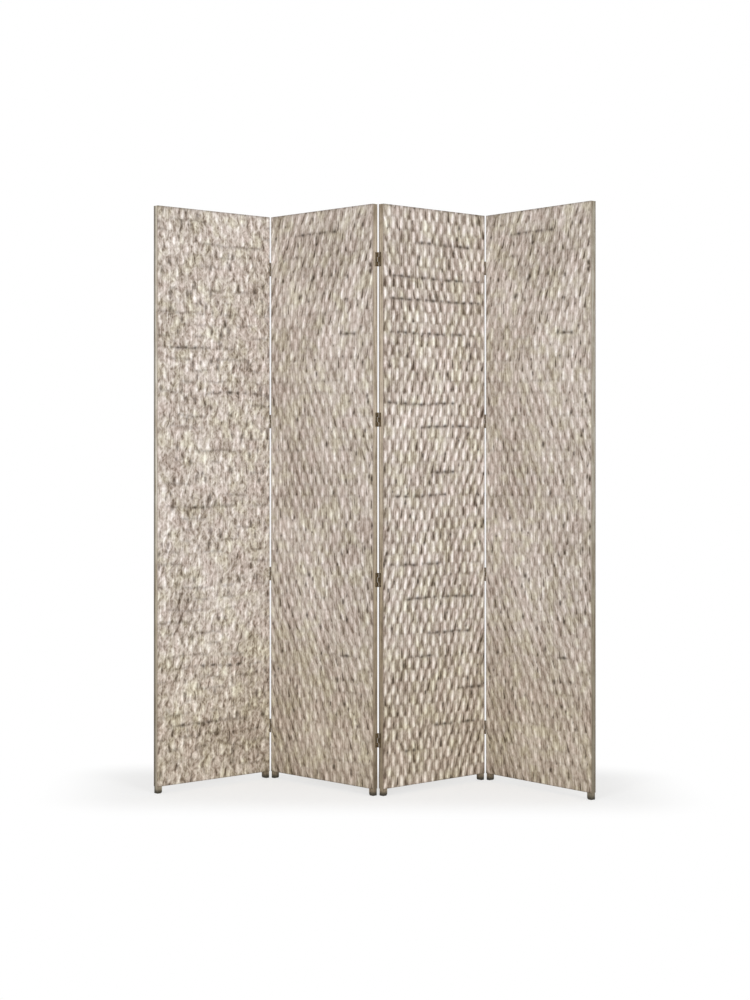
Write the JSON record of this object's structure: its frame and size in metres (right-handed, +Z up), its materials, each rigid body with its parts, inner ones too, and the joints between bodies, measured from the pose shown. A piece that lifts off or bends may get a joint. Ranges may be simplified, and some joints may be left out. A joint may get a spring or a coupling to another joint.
{
  "type": "folding screen",
  "caption": "Tall free-standing folding screen: slim wooden frames faced with whitewashed woven mats, joined by vertical butt hinges so that it stands in a zigzag or folds flat.",
  "frame": {"origin": "floor point under the middle of the standing zigzag's footprint", "axes": "+Z up, -Y towards the viewer, +X to the viewer's right"},
  "size_m": [1.5854, 0.4612, 2.1336],
  "materials": {
    "frame_wood": "stained wood with a thin worn whitewash, matt",
    "woven_mat": "stiff woven plant fibre, whitewashed over a dark stain that stays in the gaps, matt",
    "hinge_leaf": "dark antique bronze, satin",
    "hinge_pin": "dark antique bronze, satin, rubbed brighter at the ends"
  },
  "bodies": {
    "panel_1": {"fold_1_hinge_1_pin_leaf": "hinge_leaf", "fold_1_hinge_2_pin_leaf": "hinge_leaf", "fold_1_hinge_3_pin_leaf": "hinge_leaf", "fold_1_hinge_4_pin_leaf": "hinge_leaf", "fold_1_pins": "hinge_pin", "panel_1_back_mat": "woven_mat", "panel_1_bottom_rail": "frame_wood", "panel_1_front_mat": "woven_mat", "panel_1_left_stile": "frame_wood", "panel_1_middle_rails": "frame_wood", "panel_1_right_stile": "frame_wood", "panel_1_top_rail": "frame_wood"},
    "panel_2": {"fold_1_hinge_1_swing_leaf": "hinge_leaf", "fold_1_hinge_2_swing_leaf": "hinge_leaf", "fold_1_hinge_3_swing_leaf": "hinge_leaf", "fold_1_hinge_4_swing_leaf": "hinge_leaf", "fold_2_hinge_1_pin_leaf": "hinge_leaf", "fold_2_hinge_2_pin_leaf": "hinge_leaf", "fold_2_hinge_3_pin_leaf": "hinge_leaf", "fold_2_hinge_4_pin_leaf": "hinge_leaf", "fold_2_pins": "hinge_pin", "panel_2_back_mat": "woven_mat", "panel_2_bottom_rail": "frame_wood", "panel_2_front_mat": "woven_mat", "panel_2_left_stile": "frame_wood", "panel_2_middle_rails": "frame_wood", "panel_2_right_stile": "frame_wood", "panel_2_top_rail": "frame_wood"},
    "panel_3": {"fold_2_hinge_1_swing_leaf": "hinge_leaf", "fold_2_hinge_2_swing_leaf": "hinge_leaf", "fold_2_hinge_3_swing_leaf": "hinge_leaf", "fold_2_hinge_4_swing_leaf": "hinge_leaf", "fold_3_hinge_1_pin_leaf": "hinge_leaf", "fold_3_hinge_2_pin_leaf": "hinge_leaf", "fold_3_hinge_3_pin_leaf": "hinge_leaf", "fold_3_hinge_4_pin_leaf": "hinge_leaf", "fold_3_pins": "hinge_pin", "panel_3_back_mat": "woven_mat", "panel_3_bottom_rail": "frame_wood", "panel_3_front_mat": "woven_mat", "panel_3_left_stile": "frame_wood", "panel_3_middle_rails": "frame_wood", "panel_3_right_stile": "frame_wood", "panel_3_top_rail": "frame_wood"},
    "panel_4": {"fold_3_hinge_1_swing_leaf": "hinge_leaf", "fold_3_hinge_2_swing_leaf": "hinge_leaf", "fold_3_hinge_3_swing_leaf": "hinge_leaf", "fold_3_hinge_4_swing_leaf": "hinge_leaf", "panel_4_back_mat": "woven_mat", "panel_4_bottom_rail": "frame_wood", "panel_4_front_mat": "woven_mat", "panel_4_left_stile": "frame_wood", "panel_4_middle_rails": "frame_wood", "panel_4_right_stile": "frame_wood", "panel_4_top_rail": "frame_wood"}
  },
  "joints": [
    {"name": "fold_1", "type": "hinge", "parent": "panel_2", "child": "panel_1", "pos_m": [-0.37488, 0.21333, 0], "axis": [0, 0, 1], "range_deg": [-87.1, 92.9]},
    {"name": "fold_2", "type": "hinge", "parent": "panel_2", "child": "panel_3", "pos_m": [0.02055, -0.15245, 0], "axis": [0, 0, 1], "range_deg": [-87.5, 92.5]},
    {"name": "fold_3", "type": "hinge", "parent": "panel_3", "child": "panel_4", "pos_m": [0.43875, 0.18705, 0], "axis": [0, 0, 1], "range_deg": [-86.7, 93.3]}
  ]
}
